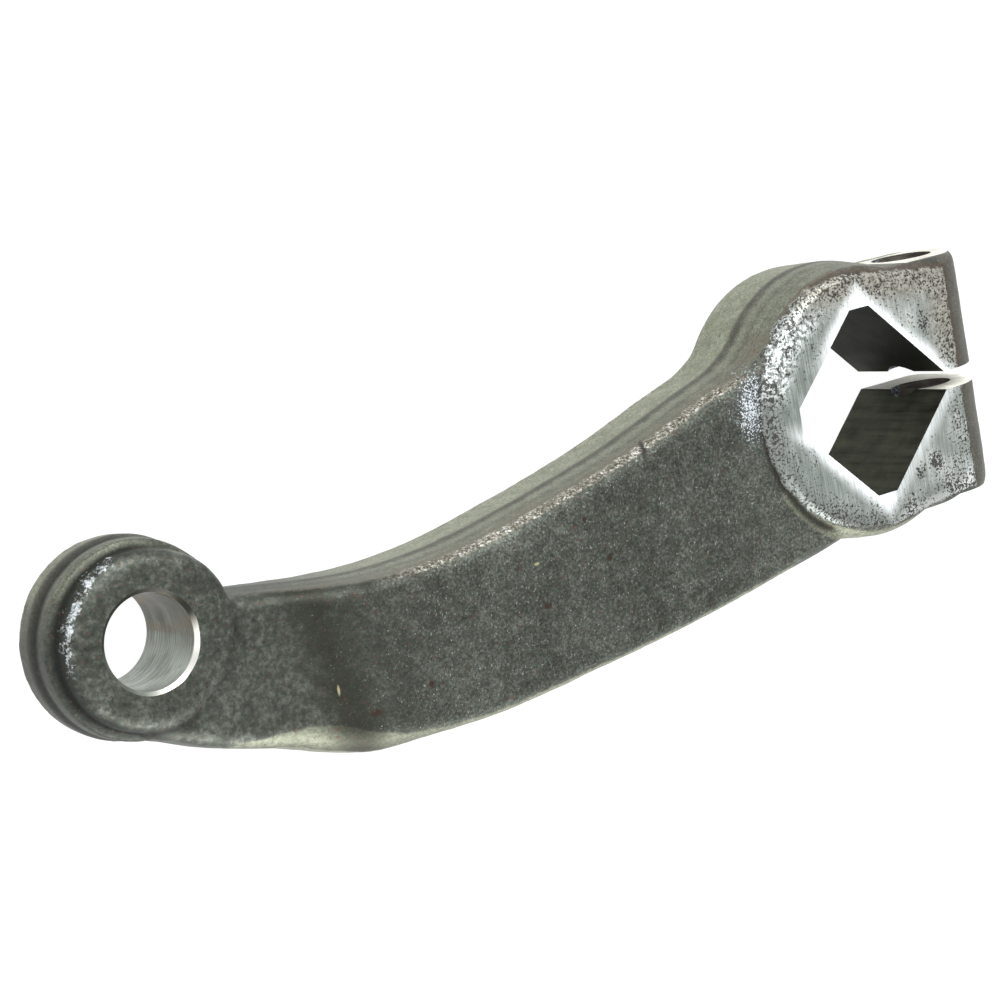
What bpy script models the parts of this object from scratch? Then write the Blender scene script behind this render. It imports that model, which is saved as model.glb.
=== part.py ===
"""Steering spindle arm: one steel forging with a clamping hub, a bowed bar and a tie rod eye.

The arm lies on the rear faces of its hub and eye, with the hub's bore upright. Lengths are in metres.
The hub's axis is the local origin, X runs from the eye to the clamping ears and Z is up.
"""

import math

import bmesh
import bpy
import numpy as np

# Overall layout
CENTRE_DISTANCE = 0.1699        # hub axis to eye axis, along X
EYE_SIDE_SHIFT = -0.0073        # eye axis off the hub's line of symmetry, along Y

# Hub
SQUARE_BORE = 0.03175           # across the flats, one corner towards the slot
BORE_CORNER = SQUARE_BORE / math.sqrt(2)
BORE_CORNER_FLAT = 0.00525      # length of the flat that takes off a corner of the square
HUB_WALL = 0.00735              # from a full corner of the bore to the parting line
HUB_RADIUS = BORE_CORNER + HUB_WALL
HUB_THICKNESS = 0.0280
HUB_PARTING = 0.0140            # height of the parting line round the hub
HUB_FRONT_ROUND = 0.0040
HUB_REAR_ROUND = 0.0012

# Clamping ears
SLOT_WIDTH = 0.0039
EAR_SET_IN = 0.0023             # forged side of an ear, in from the hub's round
EAR_HALF_WIDTH = HUB_RADIUS - EAR_SET_IN
EAR_CORNER = 0.0050             # radius at the parting line
EAR_LEAST_CORNER = 0.0012       # radius where the ear's faces round over
EAR_NOSE_HEIGHT = 0.0190        # depth of the rounded nose at the ends of the ears
EAR_NOSE_LENGTH = 0.0135
EAR_REAR_ROUND = 0.0030
BOLT_HOLE = 0.0130
BOLT_PAST_CORNER = 0.00305      # bolt axis, out from the bore's corner
BOLT_OUT = BORE_CORNER + BOLT_PAST_CORNER
BOLT_HEIGHT = 0.0142
EAR_PAST_BOLT = 0.0113          # end of the ears, out from the bolt axis
EAR_REACH = BOLT_OUT + EAR_PAST_BOLT
SPOT_FACE = 0.0284              # diameter of the seats milled for the bolt head and the nut
UPPER_SEAT_DEPTH = 0.0013       # milled off the forged side of the ear on the +Y side
LOWER_SEAT_DEPTH = 0.0027       # milled off the forged side of the ear on the -Y side

# Eye
EYE_BORE = 0.0181
EYE_CHAMFER = 0.0008
EYE_WALL = 0.01015              # from the bore to the parting line
EYE_RADIUS = EYE_BORE / 2 + EYE_WALL
EYE_THICKNESS = 0.0210
EYE_PARTING = 0.0100
EYE_BOSS_STEP = 0.0048          # height of each boss over the ledge round it
EYE_FRONT_LEDGE = 0.0017        # width of that ledge
EYE_REAR_LEDGE = 0.0022
EYE_FRONT_ROUND = 0.0032
EYE_REAR_ROUND = 0.0020
EYE_LEDGE_FILLET = 0.0008       # largest round and fillet at the ledge

# Bar, whose two edges at the parting line are smooth curves through knots. Each knot has a share
# of the way from the hub's axis to the eye's, and an offset from the line between the two axes.
UPPER_SHARES = (
    0.977, 0.930, 0.889, 0.848, 0.800, 0.742, 0.683, 0.624, 0.565, 0.494,
    0.424, 0.353, 0.294, 0.247, 0.212, 0.182, 0.158, 0.141, 0.127)
UPPER_OFFSETS = (
    0.0062, 0.0051, 0.0035, 0.0021, 0.0007, -0.0007, -0.0015, -0.0014, -0.0004, 0.0015,
    0.0036, 0.0062, 0.0089, 0.0113, 0.0129, 0.0144, 0.0166, 0.0188, 0.0207)
LOWER_SHARES = (
    1.036, 1.018, 0.983, 0.942, 0.895, 0.848, 0.800, 0.759, 0.706, 0.647,
    0.589, 0.530, 0.459, 0.388, 0.318, 0.247, 0.177, 0.118, 0.059)
LOWER_OFFSETS = (
    -0.0154, -0.0181, -0.0210, -0.0244, -0.0273, -0.0299, -0.0332, -0.0353, -0.0357, -0.0363,
    -0.0366, -0.0362, -0.0355, -0.0348, -0.0338, -0.0325, -0.0309, -0.0294, -0.0276)
BAR_ROOT_DEPTH = 0.0030         # how deep both edges end inside the hub
UPPER_ROOT_TURN = math.radians(110.0)
LOWER_ROOT_TURN = math.radians(268.0)
BAR_REAR = 0.0010               # height of the bar's rear face
BAR_DROP_AT_EYE = 0.0012        # bar's front face below the eye's front face
BAR_DROP_AT_HUB = 0.0030        # bar's front face below the hub's front face
BAR_FRONT_ROUND = 0.0030
BAR_REAR_ROUND = 0.0015
ELBOW_EXTRA_ROUND = 0.0030      # added to the front round along the outside of the elbow
ELBOW_FROM_EYE = 0.0359         # eye axis to the middle of that larger round, along X
ELBOW_LENGTH = 0.0560
RAMP_FROM_EYE = 0.0325          # eye axis to the middle of the ramp between the two front faces
RAMP_SLANT = 0.2                # how far the ramp leans towards the hub for each step down the bar
RAMP_LENGTH = 0.0200
FOOT_RISE = 0.0014              # how far the front face climbs again at the foot of the hub
FOOT_REACH = 0.0102             # hub's side to where that climb begins
FOOT_LENGTH = 0.0115

# Forging
FRONT_DRAFT = math.radians(6.0)
REAR_DRAFT = math.radians(3.0)
FLASH_LAND = 0.0014             # width of the trimmed flash along the parting line
FLASH_HEIGHT = 0.0003

# Smoothness
ROUND_STEPS = 4
BAR_STATIONS = 56
STATION_CROWDING = 0.08         # share by which the stations crowd towards the ends of the bar
FACE_COLUMNS = 5                # rows of points on the bar's front face, between its two rounds
EYE_SEGMENTS = 56
HUB_SEGMENTS = 40
HOLE_SEGMENTS = 48

CUT_SPILL = 0.0050              # how far a cutting tool runs past the metal

EYE_CENTRE = np.array([-CENTRE_DISTANCE, EYE_SIDE_SHIFT])
UP = np.array([0.0, 1.0])


def quarter(steps=ROUND_STEPS):
    """Angles of a quarter turn in equal steps."""
    return np.linspace(0.0, math.pi / 2, steps + 1)


def forged_side(rear, parting, front, rear_round, front_round, extra_levels=0):
    """Heights and insets of a drafted forged side, from the rear face up to the front face.

    The side is widest at the parting line, where it carries the trimmed flash, leans in by the draft
    towards both faces and turns into each face through a round.
    """
    front_lean = math.tan(FRONT_DRAFT)
    turn = quarter()
    rear_lean = math.tan(REAR_DRAFT)
    rear_height = rear + rear_round * (1.0 - np.sin(turn[::-1]))
    rear_inset = rear_lean * (parting - rear - rear_round) + rear_round * (1.0 - np.cos(turn[::-1]))
    front_height = front - front_round * (1.0 - np.sin(turn))
    front_inset = front_lean * (front - front_round - parting) + front_round * (1.0 - np.cos(turn))
    half_land = FLASH_LAND / 2
    land_height = parting + np.array([-half_land, -half_land / 2, half_land / 2, half_land])
    land_inset = np.array([0.0, -FLASH_HEIGHT, -FLASH_HEIGHT, 0.0])
    below = np.linspace(rear_height[-1], land_height[0], extra_levels + 2)[1:-1]
    above = np.linspace(land_height[-1], front_height[0], extra_levels + 2)[1:-1]
    heights = np.concatenate([rear_height, below, land_height, above, front_height])
    insets = np.concatenate([rear_inset, rear_lean * (parting - below), land_inset,
                             front_lean * (above - parting), front_inset])
    return heights, insets


def new_object(name, mesh):
    """Put a mesh in the scene, shaded smooth except at its sharp edges."""
    mesh.shade_smooth()
    mesh.set_sharp_from_angle(angle=math.radians(32.0))
    item = bpy.data.objects.new(name, mesh)
    bpy.context.collection.objects.link(item)
    return item


def stacked_loops(name, loops):
    """Closed solid whose skin joins one loop of points to the next, with a flat cap at each end."""
    bm = bmesh.new()
    rows = [[bm.verts.new(point) for point in loop] for loop in loops]
    count = len(rows[0])
    for low, high in zip(rows[:-1], rows[1:]):
        for i in range(count):
            j = (i + 1) % count
            bm.faces.new((low[i], low[j], high[j], high[i]))
    bm.faces.new(rows[0][::-1])
    bm.faces.new(rows[-1])
    bmesh.ops.recalc_face_normals(bm, faces=bm.faces)
    mesh = bpy.data.meshes.new(name)
    bm.to_mesh(mesh)
    bm.free()
    return new_object(name, mesh)


def turned(name, profile, centre, segments):
    """Solid turned about an upright axis from a profile of radius and height pairs."""
    bm = bmesh.new()
    verts = [bm.verts.new((radius, 0.0, height)) for radius, height in profile]
    edges = [bm.edges.new(pair) for pair in zip(verts[:-1], verts[1:])]
    bmesh.ops.spin(bm, geom=verts + edges, cent=(0.0, 0.0, 0.0), axis=(0.0, 0.0, 1.0),
                   angle=2 * math.pi, steps=segments, use_merge=True)
    bmesh.ops.remove_doubles(bm, verts=bm.verts, dist=1e-6)
    bmesh.ops.recalc_face_normals(bm, faces=bm.faces)
    bmesh.ops.translate(bm, verts=bm.verts, vec=(centre[0], centre[1], 0.0))
    mesh = bpy.data.meshes.new(name)
    bm.to_mesh(mesh)
    bm.free()
    return new_object(name, mesh)


def rod_along_y(name, radius, start, end):
    """Round cutting tool on the clamp bolt's axis, from one distance along Y to another."""
    angles = np.linspace(0.0, 2 * math.pi, HOLE_SEGMENTS, endpoint=False)
    across = BOLT_OUT + radius * np.cos(angles)
    height = BOLT_HEIGHT + radius * np.sin(angles)
    loops = [np.column_stack([across, np.full(HOLE_SEGMENTS, y), height]) for y in (start, end)]
    return stacked_loops(name, loops)


def ear_end(height):
    """How far the ears reach along X at a height: a long round nose in front, a small one behind."""
    rise = np.clip((height - (HUB_THICKNESS - EAR_NOSE_HEIGHT)) / EAR_NOSE_HEIGHT, 0.0, 1.0)
    dip = np.clip((EAR_REAR_ROUND - height) / EAR_REAR_ROUND, 0.0, 1.0)
    front = EAR_NOSE_LENGTH * (1.0 - np.sqrt(1.0 - rise ** 2))
    rear = EAR_REAR_ROUND * (1.0 - np.sqrt(1.0 - dip ** 2))
    return EAR_REACH - front - rear


def hub_outline(inset, reach):
    """Outline of hub and ears, seen from the front: a round that runs into two straight ears."""
    radius = HUB_RADIUS - inset
    half = EAR_HALF_WIDTH - inset
    corner = max(EAR_CORNER - 0.6 * inset, EAR_LEAST_CORNER)
    leave = math.asin(half / radius)
    sweep = np.linspace(leave, 2 * math.pi - leave, HUB_SEGMENTS)
    back = np.column_stack([radius * np.cos(sweep), radius * np.sin(sweep)])
    straight = np.linspace(back[-1, 0], reach - corner, 5)[1:-1]
    lower = np.column_stack([straight, np.full(len(straight), -half)])
    turn = quarter()
    arc = np.column_stack([reach - corner + corner * np.sin(turn), -half + corner * (1 - np.cos(turn))])
    rise = np.linspace(-half + corner, 0.0, 4)[1:]
    face = np.column_stack([np.full(len(rise), reach), rise])
    right = np.vstack([lower, arc, face])
    mirrored = right[-2::-1] * np.array([1.0, -1.0])
    return np.vstack([back, right, mirrored])


def make_hub():
    """Hub and ears as forged, without bore, slot or bolt hole."""
    heights, insets = forged_side(0.0, HUB_PARTING, HUB_THICKNESS, HUB_REAR_ROUND, HUB_FRONT_ROUND, 3)
    loops = []
    for height, inset, reach in zip(heights, insets, ear_end(heights)):
        flat = hub_outline(inset, reach)
        loops.append(np.column_stack([flat, np.full(len(flat), height)]))
    return stacked_loops("steering_arm", loops)


def smooth_step(value):
    """Rise from 0 to 1 with level ends."""
    clipped = np.clip(value, 0.0, 1.0)
    return clipped ** 2 * (3.0 - 2.0 * clipped)


def edge_points(shares, offsets, root_turn):
    """Knots of one edge in the plane, with a last one inside the hub at an angle about its axis."""
    points = [share * EYE_CENTRE + offset * UP for share, offset in zip(shares, offsets)]
    root = (HUB_RADIUS - BAR_ROOT_DEPTH) * np.array([math.cos(root_turn), math.sin(root_turn)])
    return np.array(points + [root])


def smooth_edge(points):
    """Stations on a smooth curve through the points, with the directions that point to its left.

    The curve is a cubic between neighbouring points; the slope at a point is the mean of the slopes
    on its two sides. The stations are set out by length and crowd towards the ends.
    """
    x, y = points.T
    gap = np.diff(x)
    secant = np.diff(y) / gap
    inner = (secant[:-1] * gap[1:] + secant[1:] * gap[:-1]) / (gap[1:] + gap[:-1])
    slope = np.concatenate([secant[:1], inner, secant[-1:]])
    across = np.linspace(x[0], x[-1], 30 * len(x))
    k = np.clip(np.searchsorted(x, across, side="right") - 1, 0, len(gap) - 1)
    t = (across - x[k]) / gap[k]
    level = (y[k] * (1 + 2 * t) * (1 - t) ** 2 + y[k + 1] * (3 - 2 * t) * t ** 2
             + gap[k] * (slope[k] * t * (1 - t) ** 2 - slope[k + 1] * (1 - t) * t ** 2))
    travel = np.concatenate([[0.0], np.cumsum(np.hypot(np.diff(across), np.diff(level)))])
    even = np.linspace(0.0, 1.0, BAR_STATIONS)
    marks = (even - STATION_CROWDING * np.sin(2 * math.pi * even)) * travel[-1]
    points = np.column_stack([np.interp(marks, travel, across), np.interp(marks, travel, level)])
    ahead = np.column_stack([np.gradient(points[:, 0], marks), np.gradient(points[:, 1], marks)])
    ahead = ahead / np.linalg.norm(ahead, axis=1, keepdims=True)
    return points, np.column_stack([-ahead[:, 1], ahead[:, 0]])


def ramp_share(point):
    """0 on the eye's side of the ramp, 1 on the hub's side."""
    along, across = point - EYE_CENTRE
    return smooth_step((along - RAMP_FROM_EYE + RAMP_SLANT * across) / RAMP_LENGTH + 0.5)


def front_height(point):
    """Height of the bar's front face: two levels joined by the ramp, and the foot of the hub."""
    low = EYE_THICKNESS - BAR_DROP_AT_EYE
    high = HUB_THICKNESS - BAR_DROP_AT_HUB
    foot = smooth_step((HUB_RADIUS + FOOT_REACH - np.hypot(point[0], point[1])) / FOOT_LENGTH)
    return low + (high - low) * ramp_share(point) + FOOT_RISE * foot


def bar_side(point, outward, front_round):
    """Points of one side of the bar at a station, from the rear face up to the front face."""
    parting = EYE_PARTING + (HUB_PARTING - EYE_PARTING) * ramp_share(point)
    heights, insets = forged_side(BAR_REAR, parting, front_height(point), BAR_REAR_ROUND, front_round)
    flat = point - insets[:, None] * outward
    return np.column_stack([flat, heights])


def make_bar():
    """Bowed bar, lofted through drafted sections from the eye's middle to the hub's."""
    upper, left = smooth_edge(edge_points(UPPER_SHARES, UPPER_OFFSETS, UPPER_ROOT_TURN))
    lower, lower_left = smooth_edge(edge_points(LOWER_SHARES, LOWER_OFFSETS, LOWER_ROOT_TURN))
    from_eye = lower[:, 0] - EYE_CENTRE[0]
    off_elbow = np.clip(np.abs(from_eye - ELBOW_FROM_EYE) * 2 / ELBOW_LENGTH, 0.0, 1.0)
    lower_round = BAR_FRONT_ROUND + ELBOW_EXTRA_ROUND * (1.0 - smooth_step(off_elbow))
    shares = np.linspace(0.0, 1.0, FACE_COLUMNS + 2)[1:-1, None]
    loops = []
    for i in range(BAR_STATIONS):
        far_side = bar_side(upper[i], left[i], BAR_FRONT_ROUND)
        near_side = bar_side(lower[i], -lower_left[i], lower_round[i])
        flat = far_side[-1, :2] + (near_side[-1, :2] - far_side[-1, :2]) * shares
        heights = [front_height(point) for point in flat]
        loops.append(np.vstack([far_side, np.column_stack([flat, heights]), near_side[::-1]]))
    return stacked_loops("bar_blank", loops)


def eye_half(face, lean, ledge_width, boss_round):
    """Profile of one half of the eye, from the parting line's side in to the axis on a face."""
    turn = quarter()
    toward = math.copysign(1.0, face - EYE_PARTING)
    rim = EYE_RADIUS - lean * abs(face - toward * EYE_BOSS_STEP - EYE_PARTING)
    boss_radius = rim - ledge_width
    fillet = min(EYE_LEDGE_FILLET, 0.49 * ledge_width)
    radii = np.concatenate([rim - fillet * (1 - np.cos(turn)),
                            boss_radius + fillet * (1 - np.sin(turn)),
                            boss_radius - boss_round * (1 - np.cos(turn)), [0.0]])
    falls = np.concatenate([EYE_BOSS_STEP + fillet * (1 - np.sin(turn)),
                            EYE_BOSS_STEP - fillet * (1 - np.cos(turn)),
                            boss_round * (1 - np.sin(turn)), [0.0]])
    return np.column_stack([radii, face - toward * falls])


def make_eye():
    """Eye as forged: a drafted disc with a round-edged boss on each face."""
    half_land = FLASH_LAND / 2
    land = np.array([[EYE_RADIUS, EYE_PARTING - half_land],
                     [EYE_RADIUS + FLASH_HEIGHT, EYE_PARTING - half_land / 2],
                     [EYE_RADIUS + FLASH_HEIGHT, EYE_PARTING + half_land / 2],
                     [EYE_RADIUS, EYE_PARTING + half_land]])
    rear = eye_half(0.0, math.tan(REAR_DRAFT), EYE_REAR_LEDGE, EYE_REAR_ROUND)
    front = eye_half(EYE_THICKNESS, math.tan(FRONT_DRAFT), EYE_FRONT_LEDGE, EYE_FRONT_ROUND)
    return turned("eye_blank", np.vstack([rear[::-1], land, front]), EYE_CENTRE, EYE_SEGMENTS)


def square_bore_tool():
    """Broach for the square bore: its corners are taken off, save the one that opens into the slot."""
    flat = BORE_CORNER_FLAT / 2
    near = BORE_CORNER - flat
    outline = np.array([[BORE_CORNER, 0.0], [flat, near], [-flat, near], [-near, flat],
                        [-near, -flat], [-flat, -near], [flat, -near]])
    loops = [np.column_stack([outline, np.full(len(outline), z)]) for z in
             (-CUT_SPILL, HUB_THICKNESS + CUT_SPILL)]
    return stacked_loops("square_bore_tool", loops)


def slot_tool():
    """Saw for the clamping slot, from inside the bore out past the ears."""
    half = SLOT_WIDTH / 2
    inner = SQUARE_BORE / 2
    outer = EAR_REACH + CUT_SPILL
    outline = np.array([[inner, -half], [outer, -half], [outer, half], [inner, half]])
    loops = [np.column_stack([outline, np.full(4, z)]) for z in (-CUT_SPILL, HUB_THICKNESS + CUT_SPILL)]
    return stacked_loops("slot_tool", loops)


def eye_bore_tool():
    """Drill for the eye with a countersink at both faces."""
    radius = EYE_BORE / 2
    wide = radius + EYE_CHAMFER + CUT_SPILL
    low = EYE_CHAMFER
    high = EYE_THICKNESS - EYE_CHAMFER
    profile = [(0.0, -CUT_SPILL), (wide, -CUT_SPILL), (radius, low), (radius, high),
               (wide, EYE_THICKNESS + CUT_SPILL), (0.0, EYE_THICKNESS + CUT_SPILL)]
    return turned("eye_bore_tool", profile, EYE_CENTRE, HOLE_SEGMENTS)


def forged_steel():
    """Dark scaled steel."""
    material = bpy.data.materials.new("forged_steel")
    material.use_nodes = True
    shader = material.node_tree.nodes["Principled BSDF"]
    shader.inputs["Base Color"].default_value = (0.095, 0.105, 0.095, 1.0)
    shader.inputs["Roughness"].default_value = 0.5
    shader.inputs["Metallic"].default_value = 0.8
    material.diffuse_color = (0.30, 0.32, 0.30, 1.0)
    return material


def combine(target, operation, other):
    """Join or cut the target with another solid, which is hidden afterwards."""
    step = target.modifiers.new(other.name, "BOOLEAN")
    step.operation = operation
    step.solver = "EXACT"
    step.object = other
    other.hide_render = True
    other.display_type = "WIRE"


def seat_on_datum(item, datum):
    """Move the datum so that the finished arm stands on the ground, centred about the origin."""
    bpy.context.view_layer.update()
    finished = item.evaluated_get(bpy.context.evaluated_depsgraph_get()).to_mesh()
    points = np.empty(len(finished.vertices) * 3)
    finished.vertices.foreach_get("co", points)
    points = points.reshape(-1, 3)
    low, high = points.min(axis=0), points.max(axis=0)
    datum.location = (-(low[0] + high[0]) / 2, -(low[1] + high[1]) / 2, -low[2])


def main():
    for item in list(bpy.data.objects):
        bpy.data.objects.remove(item, do_unlink=True)
    arm = make_hub()
    arm.data.materials.append(forged_steel())
    far = HUB_RADIUS + EAR_HALF_WIDTH
    bolt_radius = BOLT_HOLE / 2
    seat_radius = SPOT_FACE / 2
    blanks = [make_bar(), make_eye()]
    tools = [
        square_bore_tool(),
        slot_tool(),
        rod_along_y("bolt_hole_tool", bolt_radius, -far, far),
        rod_along_y("upper_seat_tool", seat_radius, EAR_HALF_WIDTH - UPPER_SEAT_DEPTH, far),
        rod_along_y("lower_seat_tool", seat_radius, -far, LOWER_SEAT_DEPTH - EAR_HALF_WIDTH),
        eye_bore_tool(),
    ]
    for blank in blanks:
        combine(arm, "UNION", blank)
    for tool in tools:
        combine(arm, "DIFFERENCE", tool)
    datum = bpy.data.objects.new("ground_datum", None)
    bpy.context.collection.objects.link(datum)
    for item in [arm] + blanks + tools:
        item.parent = datum
    seat_on_datum(arm, datum)
    bpy.context.view_layer.update()


main()
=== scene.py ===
"""Looks of the steering spindle arm: its forged skin, milled face, bores and slot, on a pale floor.

Lengths are in metres in the geometry and in millimetres in the materials. The forging is worked out
about the hub's axis, with X towards the clamping ears, and then moved to the frame's place.
"""

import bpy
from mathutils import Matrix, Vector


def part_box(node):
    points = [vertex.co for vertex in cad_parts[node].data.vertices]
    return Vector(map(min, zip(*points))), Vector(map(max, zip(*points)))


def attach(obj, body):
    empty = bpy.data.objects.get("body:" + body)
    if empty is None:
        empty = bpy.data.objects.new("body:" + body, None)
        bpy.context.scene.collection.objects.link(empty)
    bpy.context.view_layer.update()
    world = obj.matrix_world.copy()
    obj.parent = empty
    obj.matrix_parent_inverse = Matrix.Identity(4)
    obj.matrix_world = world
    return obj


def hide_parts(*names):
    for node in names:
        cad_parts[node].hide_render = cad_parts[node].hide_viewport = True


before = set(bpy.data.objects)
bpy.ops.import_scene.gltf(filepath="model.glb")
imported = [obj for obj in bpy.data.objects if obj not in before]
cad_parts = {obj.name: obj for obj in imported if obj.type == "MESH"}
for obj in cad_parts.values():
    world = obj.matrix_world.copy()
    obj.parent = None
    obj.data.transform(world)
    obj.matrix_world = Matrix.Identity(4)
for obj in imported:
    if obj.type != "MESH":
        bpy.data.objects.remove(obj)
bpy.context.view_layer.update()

import math

import bpy
import numpy as np
from mathutils import Matrix

MM = 0.001

# Arm, as in the part's source
CENTRE_DISTANCE = 0.1699
EYE_CENTRE = np.array([-CENTRE_DISTANCE, -0.0073])

SQUARE_BORE = 0.03175
BORE_CORNER = SQUARE_BORE / math.sqrt(2)
BORE_CORNER_FLAT = 0.00525
HUB_RADIUS = BORE_CORNER + 0.00735
HUB_THICKNESS = 0.0280
HUB_PARTING = 0.0140
HUB_FRONT_ROUND = 0.0040
HUB_REAR_ROUND = 0.0016
HUB_MILLED_OFF = 0.0003         # height of forged stock milled off the hub's front face

SLOT_WIDTH = 0.0039
EAR_HALF_WIDTH = HUB_RADIUS - 0.0023
EAR_CORNER = 0.0050
EAR_LEAST_CORNER = 0.0012
UPPER_EAR_CORNER = 0.55         # share of the lower ear's corner rounding
EAR_NOSE_HEIGHT = 0.0190
EAR_NOSE_LENGTH = 0.0135
EAR_REAR_ROUND = 0.0030
BOLT_HOLE = 0.0130
BOLT_OUT = BORE_CORNER + 0.00305
BOLT_HEIGHT = 0.0142
EAR_REACH = BOLT_OUT + 0.0113
SPOT_FACE = 0.0284
UPPER_SEAT_DEPTH = 0.0013
LOWER_SEAT_DEPTH = 0.0027

EYE_BORE = 0.0181
EYE_CHAMFER = 0.0008
EYE_RADIUS = EYE_BORE / 2 + 0.01015
EYE_THICKNESS = 0.0210
EYE_PARTING = 0.0100
EYE_BOSS_STEP = 0.0048
EYE_FRONT_LEDGE = 0.0017
EYE_GROOVE = 0.0006             # depth of the hollow in front of the eye's parting line
EYE_REAR_LEDGE = 0.0022
EYE_FRONT_ROUND = 0.0032
EYE_REAR_ROUND = 0.0020

# Knots of the bar's edges: share of the way from the hub's axis to the eye's, and offset along Y
UPPER_SHARES = (
    0.977, 0.930, 0.889, 0.848, 0.800, 0.742, 0.683, 0.624, 0.565, 0.494,
    0.424, 0.353, 0.294, 0.247, 0.212, 0.182, 0.158, 0.141, 0.127)
UPPER_OFFSETS = (
    0.0062, 0.0051, 0.0035, 0.0021, 0.0007, -0.0007, -0.0015, -0.0014, -0.0004, 0.0015,
    0.0036, 0.0062, 0.0089, 0.0113, 0.0129, 0.0144, 0.0166, 0.0188, 0.0207)
LOWER_SHARES = (
    1.036, 1.018, 0.983, 0.942, 0.895, 0.848, 0.800, 0.759, 0.706, 0.647,
    0.589, 0.530, 0.459, 0.388, 0.318, 0.247, 0.177, 0.118, 0.059)
LOWER_OFFSETS = (
    -0.0154, -0.0181, -0.0210, -0.0244, -0.0273, -0.0299, -0.0332, -0.0353, -0.0357, -0.0363,
    -0.0366, -0.0362, -0.0355, -0.0348, -0.0338, -0.0325, -0.0309, -0.0294, -0.0276)
BAR_ROOT_DEPTH = 0.0030
UPPER_ROOT_TURN = math.radians(110.0)
LOWER_ROOT_TURN = math.radians(268.0)
BAR_REAR = 0.0010
BAR_DROP_AT_EYE = 0.0012
BAR_DROP_AT_HUB = 0.0030
BAR_FRONT_ROUND = 0.0030
BAR_REAR_ROUND = 0.0015
ELBOW_EXTRA_ROUND = 0.0030
ELBOW_FROM_EYE = 0.0359
ELBOW_LENGTH = 0.0560
RAMP_FROM_EYE = 0.0325
RAMP_SLANT = 0.2
RAMP_LENGTH = 0.0200
FOOT_RISE = 0.0014
FOOT_REACH = 0.0102
FOOT_LENGTH = 0.0115

FRONT_DRAFT = math.radians(6.0)
REAR_DRAFT = math.radians(3.0)
FLASH_HEIGHT = 0.0003

LUMPS = ((0.07, 0.0110, 1), (0.05, 0.0042, 2), (0.035, 0.0019, 3))    # height in mm, size, seed
NICK_X = -0.0577                # where a dent crosses the worn edge of the bar
NICK_TOP = 0.0247               # height of that edge
NICK_WIDTH = 0.0007
NICK_LEAN = 0.45                # how far it runs towards the hub for each length down the side
NICK_DEPTH = 0.00035
REAR_EAR_SET_IN = 0.0009        # how far the rear half of the upper ear stands back
EYE_RING_DEPTH = 0.00022        # depth of the hollow round the front of the eye

CUT_SPILL = 0.0050              # how far a tool reaches past the steel it cuts
BAR_STATIONS = 240
ROUND_SIDES = 96                # sides of a round tool
VOXEL = 0.00062                 # size of the forged skin's faces
SOFTENING = 7                   # rounds of smoothing that give the forging its fillets

# Marks on the front: X and Y, and the reach along each, in millimetres
STAINS = (
    (-87.1, -21.9, 1.5, 1.0), (-116.2, -29.7, 0.9, 1.3), (-70.7, -16.3, 1.0, 1.0),
    (-128.5, -32.0, 1.8, 0.9), (-75.0, -7.5, 0.8, 0.8))
STRAW_SPECKS = ((-134.6, -26.1, 0.32, 1.4), (-87.9, -13.2, 0.9, 0.45))
PIT_CROWDS = ((14.7, -16.1, 2.8, 2.8), (9.6, -17.6, 2.2, 2.2), (17.0, 13.0, 2.2, 4.5))
MILLED_MIDDLE = (-2.0, 0.6)
MILLED_RADIUS = 26.9

WHITE = (1.0, 1.0, 1.0, 1.0)
SKY_LIGHT = 0.42                # strength of the surroundings as light
SEEN_WHITE = 1.12               # strength at which surroundings and floor are seen
FLOOR_REACH = 2.0
FLOOR_GAP = 0.0001

# Where the hub's axis stands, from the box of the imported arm
ARM_LOW, ARM_HIGH = (np.array(corner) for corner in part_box("steering_arm"))
HUB_AXIS = np.array([ARM_LOW[0] + CENTRE_DISTANCE + EYE_RADIUS + FLASH_HEIGHT,
                     ARM_HIGH[1] - HUB_RADIUS - FLASH_HEIGHT, 0.0])

# Camera, fitted to the edges of the bores and the outline in the photograph
CAMERA_PLACE = HUB_AXIS + np.array([-0.38957, 0.08817, 0.49120])
CAMERA_RIGHT = (0.81576, -0.17642, 0.55082)
CAMERA_UP = (0.23302, 0.97188, -0.03382)
CAMERA_BACK = (-0.52937, 0.15594, 0.83394)
CAMERA_LENS = 104.25


# Forged blanks

def smooth_step(value):
    """Rise from 0 to 1 with level ends: 3t^2 - 2t^3."""
    clipped = np.clip(value, 0.0, 1.0)
    return clipped ** 2 * (3.0 - 2.0 * clipped)


def forged_side(rear, parting, front, rear_round, front_round):
    """Heights and insets of a forged side, from the rear face up to the front face.

    Each half leans in from the parting line by its draft and turns into its face through a quarter
    round. Every argument may be an array; the last axis of the result runs up the side.
    """
    turn = np.linspace(0.0, math.pi / 2, 7)
    part = [np.asarray(value, float)[..., None] for value in (rear, parting, front, rear_round, front_round)]
    rear, parting, front, rear_round, front_round = np.broadcast_arrays(*part)
    rear_lean = math.tan(REAR_DRAFT)
    front_lean = math.tan(FRONT_DRAFT)
    share = np.linspace(0.0, 1.0, 8)[1:-1]
    rear_height = rear + rear_round * (1.0 - np.sin(turn[::-1]))
    rear_inset = rear_lean * (parting - rear - rear_round) + rear_round * (1.0 - np.cos(turn[::-1]))
    front_height = front - front_round * (1.0 - np.sin(turn))
    front_inset = front_lean * (front - front_round - parting) + front_round * (1.0 - np.cos(turn))
    below = rear_height[..., -1:] + (parting - rear_height[..., -1:]) * share
    above = parting + (front_height[..., :1] - parting) * share
    heights = np.concatenate([rear_height, below, parting, above, front_height], axis=-1)
    insets = np.concatenate([rear_inset, rear_lean * (parting - below), 0.0 * parting,
                             front_lean * (above - parting), front_inset], axis=-1)
    return heights, insets


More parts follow.
